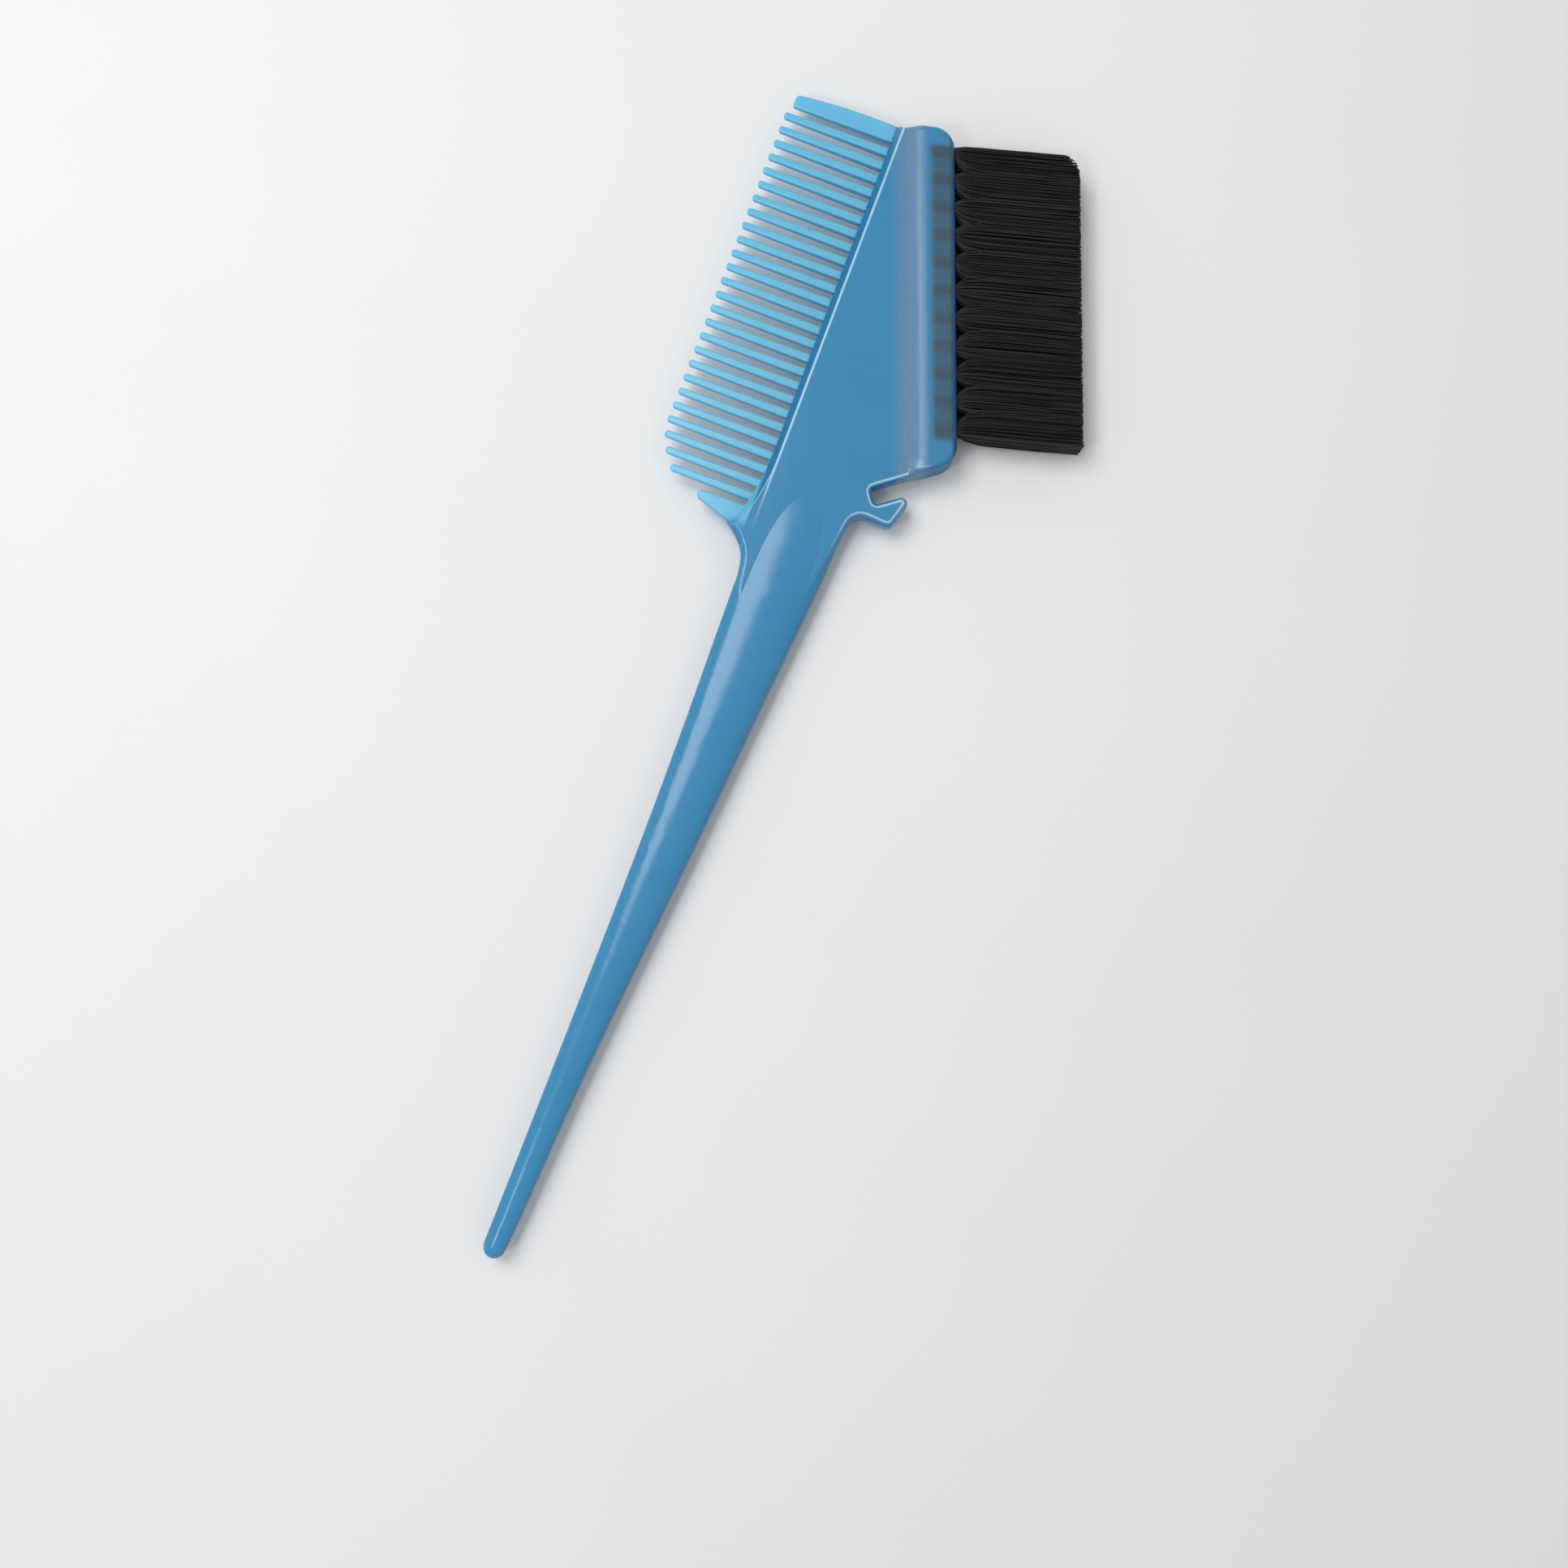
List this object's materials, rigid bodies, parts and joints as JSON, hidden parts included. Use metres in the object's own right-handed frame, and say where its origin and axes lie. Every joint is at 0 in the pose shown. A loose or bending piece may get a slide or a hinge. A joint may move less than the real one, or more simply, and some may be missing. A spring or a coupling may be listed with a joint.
{
  "type": "tint brush with comb",
  "caption": "Hair tint brush: a moulded head with comb teeth on one side, slanted dark bristle tufts on the other, a small hook slot and a long tapered tail handle.",
  "frame": {"origin": "middle of the whole brush's footprint, on the plane of the back of the bristle block", "axes": "+Y along the handle from the tail to the head, +X towards the bristle side, away from the comb, +Z out of the front face, through the thickness"},
  "size_m": [0.0724, 0.2224, 0.0076],
  "materials": {
    "body": "translucent blue polypropylene with a smooth moulded gloss",
    "bristle": "black nylon filament, satin",
    "anchor": "drawn flat wire"
  },
  "bodies": {
    "root": {"moulded_body": "body", "front_tuft_01": "bristle", "front_tuft_02": "bristle", "front_tuft_03": "bristle", "front_tuft_04": "bristle", "front_tuft_05": "bristle", "front_tuft_06": "bristle", "front_tuft_07": "bristle", "front_tuft_08": "bristle", "front_tuft_09": "bristle", "front_tuft_10": "bristle", "front_tuft_11": "bristle", "front_anchor_01": "anchor", "front_anchor_02": "anchor", "front_anchor_03": "anchor", "front_anchor_04": "anchor", "front_anchor_05": "anchor", "front_anchor_06": "anchor", "front_anchor_07": "anchor", "front_anchor_08": "anchor", "front_anchor_09": "anchor", "front_anchor_10": "anchor", "front_anchor_11": "anchor", "back_tuft_01": "bristle", "back_tuft_02": "bristle", "back_tuft_03": "bristle", "back_tuft_04": "bristle", "back_tuft_05": "bristle", "back_tuft_06": "bristle", "back_tuft_07": "bristle", "back_tuft_08": "bristle", "back_tuft_09": "bristle", "back_tuft_10": "bristle", "back_anchor_01": "anchor", "back_anchor_02": "anchor", "back_anchor_03": "anchor", "back_anchor_04": "anchor", "back_anchor_05": "anchor", "back_anchor_06": "anchor", "back_anchor_07": "anchor", "back_anchor_08": "anchor", "back_anchor_09": "anchor", "back_anchor_10": "anchor"}
  },
  "joints": []
}
